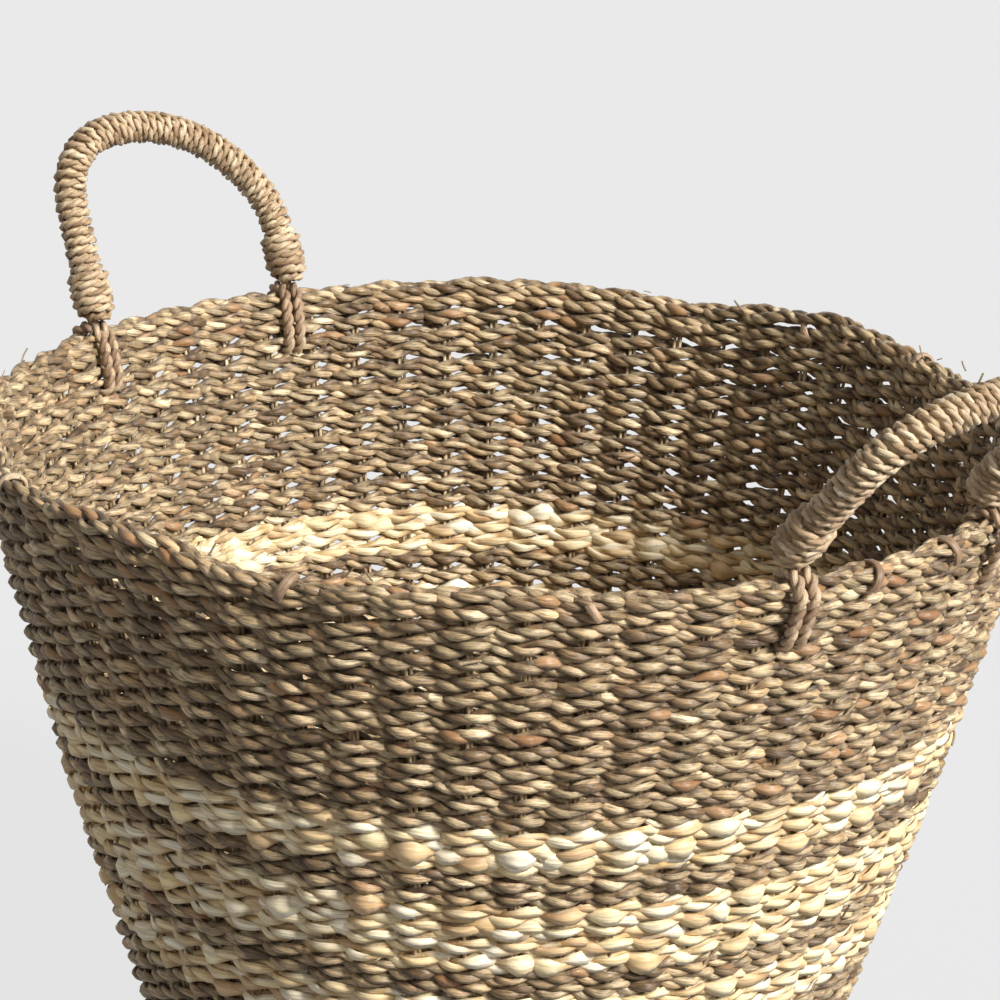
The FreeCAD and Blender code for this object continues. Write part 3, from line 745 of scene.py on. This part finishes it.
def wound_tree():
    tree, take = new_tree("wound_cord", WOUND_INPUTS)
    fine = add_node(tree, "GeometryNodeResampleCurve", {"mode": "COUNT"}, Curve=take["Path"],
                    Count=take["Turns"] * take["Steps"])
    copies = add_node(tree, "GeometryNodeDuplicateElements", {"domain": "SPLINE"},
                      Geometry=fine.outputs[0], Amount=take["Plies"])
    ply = Field(tree, copies.outputs["Duplicate Index"])
    part_way = Field(tree, tree.nodes.new("GeometryNodeSplineParameter").outputs["Factor"])
    tangent = tree.nodes.new("GeometryNodeInputTangent").outputs[0]
    normal = vector_of(tree, take["Normal X"], take["Normal Y"], take["Normal Z"])
    binormal = cross_vectors(tree, tangent, normal)
    here = tree.nodes.new("GeometryNodeInputPosition").outputs[0]
    wobble_a, wobble_b, wobble_c = noise_fields(
        tree, vector_of(tree, part_way * take["Turns"] * 0.35, take["Seed"], ply * 0.3), 1.0)
    turn = part_way * take["Turns"] * math.tau + wobble_b * 0.9
    twist = turn * take["Twists A Turn"] + ply * math.tau / take["Plies"]
    travelled = part_way * take["Length"]
    rise = (travelled / (take["Round Start"] + 1e-6)).math("MINIMUM", 1.0)
    taper = (1.0 - (1.0 - rise) * (1.0 - rise)).math("MAXIMUM", 0.02).math("SQRT")
    reach = take["Wound Radius"] * taper + wobble_a * 0.0007 + twist.cos() * take["Ply Offset"]
    around = scaled(tree, normal, turn.cos() * reach)
    over = scaled(tree, binormal, turn.sin() * reach)
    ahead = scaled(tree, tangent, twist.sin() * take["Ply Offset"] + turn.sin() * take["Slant"])
    moved = add_node(tree, "GeometryNodeSetPosition", Geometry=copies.outputs["Geometry"],
                     Position=added(tree, here, around, over, ahead))
    lozenge = (twist / math.pi + 0.5).floor() + ply * 9973.0
    geometry = store(tree, moved.outputs[0], "tone", random_field(tree, lozenge, take["Seed"]))
    geometry = store(tree, geometry, "tint", random_field(tree, lozenge, take["Seed"] + 5.0))
    geometry = store(tree, geometry, "along", turn * take["Wound Radius"])
    sized = add_node(tree, "GeometryNodeSetCurveRadius", Curve=geometry, Radius=wobble_c * 0.5 + 1.0)
    section = add_node(tree, "GeometryNodeCurvePrimitiveCircle", {"mode": "RADIUS"}, Radius=0.5, Resolution=6)
    spot = tree.nodes.new("GeometryNodeInputPosition").outputs[0]
    marked = store(tree, section.outputs["Curve"], "section", spot, "FLOAT_VECTOR")
    shaped = add_node(tree, "GeometryNodeTransform", Geometry=marked,
                      Scale=vector_of(tree, take["Ply Size"], take["Ply Size"], 1.0))
    radius_node = tree.nodes.new("GeometryNodeInputRadius")
    tubes = add_node(tree, "GeometryNodeCurveToMesh", Curve=sized.outputs[0], Profile_Curve=shaped.outputs[0],
                     Scale=radius_node.outputs[0], Fill_Caps=True)
    finish_tree(tree, tubes.outputs[0], take["Material"])
    return tree


wound_cord_tree = wound_tree()


def path_object(name, points, closed=False):
    """A poly curve through points, as the start of a wound or twisted piece."""
    curve = bpy.data.curves.new(name, "CURVE")
    curve.dimensions = "3D"
    spline = curve.splines.new("POLY")
    spline.points.add(len(points) - 1)
    for point, place in zip(spline.points, points):
        point.co = (*place, 1.0)
    spline.use_cyclic_u = closed
    return bpy.data.objects.new(name, curve)


def path_length(points):
    return sum((b - a).length for a, b in zip(points[:-1], points[1:]))


# %% The hoops' centrelines, from their joints and nodes
HANDLE_THICKNESS = 0.0145
BINDING_TOP = 0.012
BINDING_RADIUS = 0.0085
HOOPS = {
    # rise and shoulder radius of the first foot, the same of the other foot, and the crown's radius
    "right": (0.038, 0.030, 0.038, 0.030, 0.120),
    "left": (0.041, 0.028, 0.011, 0.043, 0.078),
}
joints = {joint["child"]: joint for joint in frame["joints"]}
half_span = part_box("right_handle_wrap")[1].y - HANDLE_THICKNESS / 2


def arc_points(centre, radius, first, last, count):
    steps = [first + (last - first) * k / count for k in range(count + 1)]
    return [(centre[0] + radius * math.cos(a), centre[1] + radius * math.sin(a)) for a in steps]


def hoop_outline(handle):
    """The hoop in its own plane: across between the feet, and up the legs from the hinge line."""
    near_rise, near_corner, far_rise, far_corner, crown = HOOPS[handle]
    near, far = Vector((half_span - near_corner, near_rise)), Vector((far_corner - half_span, far_rise))
    across = far - near
    apart = across.length
    foot = ((crown - near_corner) ** 2 - (crown - far_corner) ** 2 + apart ** 2) / (2 * apart)
    sag = math.sqrt((crown - near_corner) ** 2 - foot ** 2)
    middle = near + across * (foot / apart) + Vector((-across.y, across.x)) * (sag / apart)
    near_turn = math.atan2(near.y - middle.y, near.x - middle.x)
    far_turn = math.atan2(far.y - middle.y, far.x - middle.x)
    points = [(half_span, near_rise * k / 6) for k in range(6)]
    points += arc_points(near, near_corner, 0, near_turn, 12)[:-1]
    points += arc_points(middle, crown, near_turn, far_turn, 20)[:-1]
    points += arc_points(far, far_corner, far_turn, math.pi, 12)[:-1]
    points += [(-half_span, far_rise * (6 - k) / 6) for k in range(7)]
    return points


class HandleFrame:
    """Where a handle stands: its hinge, and the directions along its feet, up its legs and out."""

    def __init__(self, handle):
        joint = joints[handle + "_handle"]
        self.hinge = Vector(joint["pos_m"])
        self.along = Vector(joint["axis"]).normalized()
        outward = Vector((math.copysign(1.0, self.hinge.x), 0, 0))
        lean = math.radians(90 - joint["range_deg"][1])
        self.up = outward * math.sin(lean) + Vector((0, 0, math.cos(lean)))
        self.normal = self.along.cross(self.up)

    def place(self, across, rise):
        return self.hinge + self.along * across + self.up * rise


print("hoops: half span %.4f" % half_span)

# %% Wrap both handles and whip their feet
WRAP_PITCH = 0.0039
core_rope = bpy.data.materials.new("core_rope")
core_rope.use_nodes = True
core_tree = core_rope.node_tree
core_place = core_tree.nodes.new("ShaderNodeTexCoord").outputs["Object"]
core_grain = add_node(core_tree, "ShaderNodeTexNoise", Vector=core_place, Scale=600.0, Detail=3.0)
core_tree.links.new(ramp(core_tree, core_grain.outputs["Fac"], SEAGRASS_TONES),
                    core_tree.nodes["Principled BSDF"].inputs["Base Color"])
core_tree.nodes["Principled BSDF"].inputs["Roughness"].default_value = 0.8


def wind(name, points, normal, body, node, values):
    settings = {"Normal X": normal.x, "Normal Y": normal.y, "Normal Z": normal.z,
                "Length": path_length(points), "Material": straw_cord}
    settings.update(values)
    piece = grow(name, wound_cord_tree, settings, start=path_object(name + "_path", points))
    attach(piece, body)
    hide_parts(node)


for number, handle in enumerate(("right", "left")):
    body = handle + "_handle"
    stand = HandleFrame(handle)
    hoop = [stand.place(across, rise) for across, rise in hoop_outline(handle)]
    turns = int(path_length(hoop) / WRAP_PITCH)
    wind(body + "_wrapping", hoop, stand.normal, body, body + "_wrap",
         {"Turns": turns, "Seed": 21 + number, "Slant": 0.0010})
    for side, sign in (("front", -1), ("back", 1)):
        foot = [stand.place(sign * half_span, -BINDING_RADIUS + (BINDING_TOP + BINDING_RADIUS) * k / 12)
                for k in range(13)]
        node = "%s_%s_binding" % (body, side)
        wind(node + "_whipping", foot, stand.normal, body, node,
             {"Turns": 6, "Seed": 31 + 2 * number + sign, "Wound Radius": BINDING_RADIUS - 0.0014,
              "Round Start": BINDING_RADIUS, "Ply Offset": 0.0010, "Ply Size": 0.0025, "Slant": 0.0012})
    core = frame["nodes"][body + "_core"]
    core.data.materials.clear()
    core.data.materials.append(core_rope)

# %% [markdown]
# ## Ties
# Each foot is tied down by a cord that goes twice over the rim and through the wall. Each turn is
# a closed belt round two circles: a wide one round the rim's border, and a narrow one where the
# cord goes through the wall. Two twisted plies follow the belt. The ties belong to the basket.

# %% The tree that twists plies round a path
TWIST_INPUTS = [
    ("Path", "Geometry", None), ("Points", "Int", 150), ("Plies", "Int", 2), ("Twists", "Float", 6.0),
    ("Ply Offset", "Float", 0.00115), ("Ply Size", "Float", 0.0027), ("Seed", "Int", 1),
    ("Normal X", "Float", 0.0), ("Normal Y", "Float", 1.0), ("Normal Z", "Float", 0.0),
    ("Material", "Material", None),
]


def twisted_tree():
    tree, take = new_tree("twisted_cord", TWIST_INPUTS)
    fine = add_node(tree, "GeometryNodeResampleCurve", {"mode": "COUNT"}, Curve=take["Path"],
                    Count=take["Points"])
    copies = add_node(tree, "GeometryNodeDuplicateElements", {"domain": "SPLINE"},
                      Geometry=fine.outputs[0], Amount=take["Plies"])
    ply = Field(tree, copies.outputs["Duplicate Index"])
    part_way = Field(tree, tree.nodes.new("GeometryNodeSplineParameter").outputs["Factor"])
    tangent = tree.nodes.new("GeometryNodeInputTangent").outputs[0]
    normal = vector_of(tree, take["Normal X"], take["Normal Y"], take["Normal Z"])
    binormal = cross_vectors(tree, tangent, normal)
    here = tree.nodes.new("GeometryNodeInputPosition").outputs[0]
    twist = part_way * take["Twists"] * math.tau + ply * math.tau / take["Plies"]
    moved = add_node(tree, "GeometryNodeSetPosition", Geometry=copies.outputs["Geometry"],
                     Position=added(tree, here, scaled(tree, normal, twist.cos() * take["Ply Offset"]),
                                    scaled(tree, binormal, twist.sin() * take["Ply Offset"])))
    lozenge = (twist / math.pi + 0.5).floor() + ply * 9973.0
    geometry = store(tree, moved.outputs[0], "tone", random_field(tree, lozenge, take["Seed"]))
    geometry = store(tree, geometry, "tint", random_field(tree, lozenge, take["Seed"] + 5.0))
    geometry = store(tree, geometry, "along", twist * take["Ply Offset"] * 2.0)
    section = add_node(tree, "GeometryNodeCurvePrimitiveCircle", {"mode": "RADIUS"}, Radius=0.5, Resolution=8)
    spot = tree.nodes.new("GeometryNodeInputPosition").outputs[0]
    marked = store(tree, section.outputs["Curve"], "section", spot, "FLOAT_VECTOR")
    shaped = add_node(tree, "GeometryNodeTransform", Geometry=marked,
                      Scale=vector_of(tree, take["Ply Size"], take["Ply Size"], 1.0))
    tubes = add_node(tree, "GeometryNodeCurveToMesh", Curve=geometry, Profile_Curve=shaped.outputs[0])
    finish_tree(tree, tubes.outputs[0], take["Material"])
    return tree


twisted_cord_tree = twisted_tree()

# %% Tie the feet to the rim
TIE_DEPTH = 0.019
TIE_LOW_RADIUS = 0.0068
TIE_CLEARANCE = 0.0024
TIE_TOP_RADIUS = RIM_CORD / 2 + TIE_CLEARANCE
TIE_SPACING = 0.0054
foot_azimuth = math.degrees(math.asin(half_span / RIM_RADIUS))


def tie_belt():
    """The belt in its own plane: out from the basket's axis and up, from the middle of the rim border."""
    low = (wall_radius(TIE_DEPTH) - RIM_RADIUS, RIM_CORD / 2 - TIE_DEPTH)
    line_of_centres = math.atan2(low[1], low[0])
    lean = math.acos((TIE_TOP_RADIUS - TIE_LOW_RADIUS) / math.hypot(*low))
    left, right = line_of_centres - lean, line_of_centres + lean
    over = arc_points((0, 0), TIE_TOP_RADIUS, right, left + math.tau, 16)
    under = arc_points(low, TIE_LOW_RADIUS, left, right, 14)
    return over + under


def tie_points(azimuth, sideways):
    turn = math.radians(azimuth)
    outward, along = Vector((math.cos(turn), math.sin(turn), 0)), Vector((-math.sin(turn), math.cos(turn), 0))
    middle = outward * RIM_RADIUS + along * sideways + Vector((0, 0, HEIGHT - RIM_CORD / 2))
    return [middle + outward * x + Vector((0, 0, z)) for x, z in tie_belt()], along


def join(name, pieces):
    """One mesh from several that follow the same body."""
    with bpy.context.temp_override(active_object=pieces[0], selected_editable_objects=pieces,
                                   selected_objects=pieces):
        bpy.ops.object.join()
    pieces[0].name = name
    return pieces[0]


for number, (handle, facing) in enumerate((("right", 0.0), ("left", 180.0))):
    for side, sign in (("front", -1), ("back", 1)):
        node = "%s_handle_%s_tie" % (handle, side)
        turns = []
        for half in (-0.5, 0.5):
            points, along = tie_points(facing + sign * foot_azimuth, half * TIE_SPACING)
            turns.append(grow("%s_turn_%d" % (node, half > 0), twisted_cord_tree, {
                "Normal X": along.x, "Normal Y": along.y, "Normal Z": 0.0, "Twists": 7.0,
                "Seed": 50 + number * 4 + sign, "Material": tie_grass,
            }, start=path_object(node + "_path", points, closed=True)))
        tie = join(node + "_cords", turns)
        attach(tie, "basket")
        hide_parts(node)

# %% [markdown]
# ## Floor, light and camera
# A plain pale floor, a sun from the right that leaves soft shadows, and a bright even sky. The
# camera stands to the front of the right handle and looks down at about seventeen degrees.

# %% Floor
floor_mesh = bpy.data.meshes.new("floor")
FLOOR_REACH = 30.0
floor_mesh.from_pydata([(-FLOOR_REACH, -FLOOR_REACH, 0), (FLOOR_REACH, -FLOOR_REACH, 0),
                        (FLOOR_REACH, FLOOR_REACH, 0), (-FLOOR_REACH, FLOOR_REACH, 0)], [], [(0, 1, 2, 3)])
floor = bpy.data.objects.new("floor", floor_mesh)
bpy.context.scene.collection.objects.link(floor)
floor_paint = bpy.data.materials.new("pale_floor")
floor_paint.use_nodes = True
floor_surface = floor_paint.node_tree.nodes["Principled BSDF"]
floor_surface.inputs["Base Color"].default_value = (0.04, 0.04, 0.04, 1)
floor_surface.inputs["Specular IOR Level"].default_value = 0.0
floor_surface.inputs["Emission Color"].default_value = (1.0, 1.0, 1.0, 1)
FLOOR_GLOW = 0.32
FLOOR_GLOW_IN_VIEW = 0.44  # added where the camera sees the floor itself
light_path = floor_paint.node_tree.nodes.new("ShaderNodeLightPath")
seen_directly = Field(floor_paint.node_tree, light_path.outputs["Is Camera Ray"])
connect(floor_paint.node_tree, seen_directly * FLOOR_GLOW_IN_VIEW + FLOOR_GLOW,
        floor_surface.inputs["Emission Strength"])
floor_surface.inputs["Roughness"].default_value = 0.9
floor_mesh.materials.append(floor_paint)
floor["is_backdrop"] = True

# %% Light
CAMERA_AZIMUTH = math.radians(-44.5)


def direction(turn, lift):
    """The unit vector at an angle round Z and an angle above the floor."""
    return Vector((math.cos(turn) * math.cos(lift), math.sin(turn) * math.cos(lift), math.sin(lift)))


def sun(name, azimuth, elevation, strength, softness):
    """A sun from an azimuth beside the camera (to the right is positive) and an elevation."""
    light = bpy.data.lights.new(name, "SUN")
    light.energy = strength
    light.angle = math.radians(softness)
    lamp = bpy.data.objects.new(name, light)
    bpy.context.scene.collection.objects.link(lamp)
    turn, lift = CAMERA_AZIMUTH + math.radians(azimuth), math.radians(elevation)
    lamp.rotation_euler = direction(turn, lift).to_track_quat("Z", "Y").to_euler()


sun("key", azimuth=54, elevation=34, strength=6.2, softness=16)
world = bpy.data.worlds.new("studio")
bpy.context.scene.world = world
world.use_nodes = True
SKY_STRENGTH = 0.42
sky = world.node_tree.nodes["Background"]
sky.inputs["Color"].default_value = (1.0, 1.0, 1.0, 1)
sky.inputs["Strength"].default_value = SKY_STRENGTH
bpy.context.scene.view_settings.view_transform = "Standard"

# %% Camera
CAMERA_RISE = math.radians(17.05)
CAMERA_DISTANCE = 1.43
CAMERA_ROLL = math.radians(1.84)
CAMERA_LENS = 130.8
SENSOR = 36.0
camera_data = bpy.data.cameras.new("camera")
camera_data.sensor_width = SENSOR
camera_data.lens = CAMERA_LENS
camera_data.dof.use_dof = False
camera = bpy.data.objects.new("camera", camera_data)
bpy.context.scene.collection.objects.link(camera)
rim_middle = Vector((0, 0, HEIGHT))
out = direction(CAMERA_AZIMUTH, CAMERA_RISE)
camera.location = rim_middle + out * CAMERA_DISTANCE
look = out.to_track_quat("Z", "Y").to_matrix()
side, up = look.col[0], look.col[1]
RIM_MIDDLE_RIGHT_OF_CENTRE = 0.0076
RIM_MIDDLE_OVER_CENTRE = 0.083
spread = CAMERA_DISTANCE * SENSOR / CAMERA_LENS
target = rim_middle - up * RIM_MIDDLE_OVER_CENTRE * spread - side * RIM_MIDDLE_RIGHT_OF_CENTRE * spread
aim = (camera.location - target).to_track_quat("Z", "Y").to_matrix().to_4x4()
camera.rotation_euler = (aim @ Matrix.Rotation(CAMERA_ROLL, 4, "Z")).to_euler()
bpy.context.scene.camera = camera
print("camera at", tuple(round(v, 3) for v in camera.location), "lens %.1f mm" % camera_data.lens)

# %% Sizes and the last line
visual_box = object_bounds()
for label, box in (("cad", cad_box), ("visual", visual_box)):
    print(label, "box", [[round(value, 4) for value in corner] for corner in box])
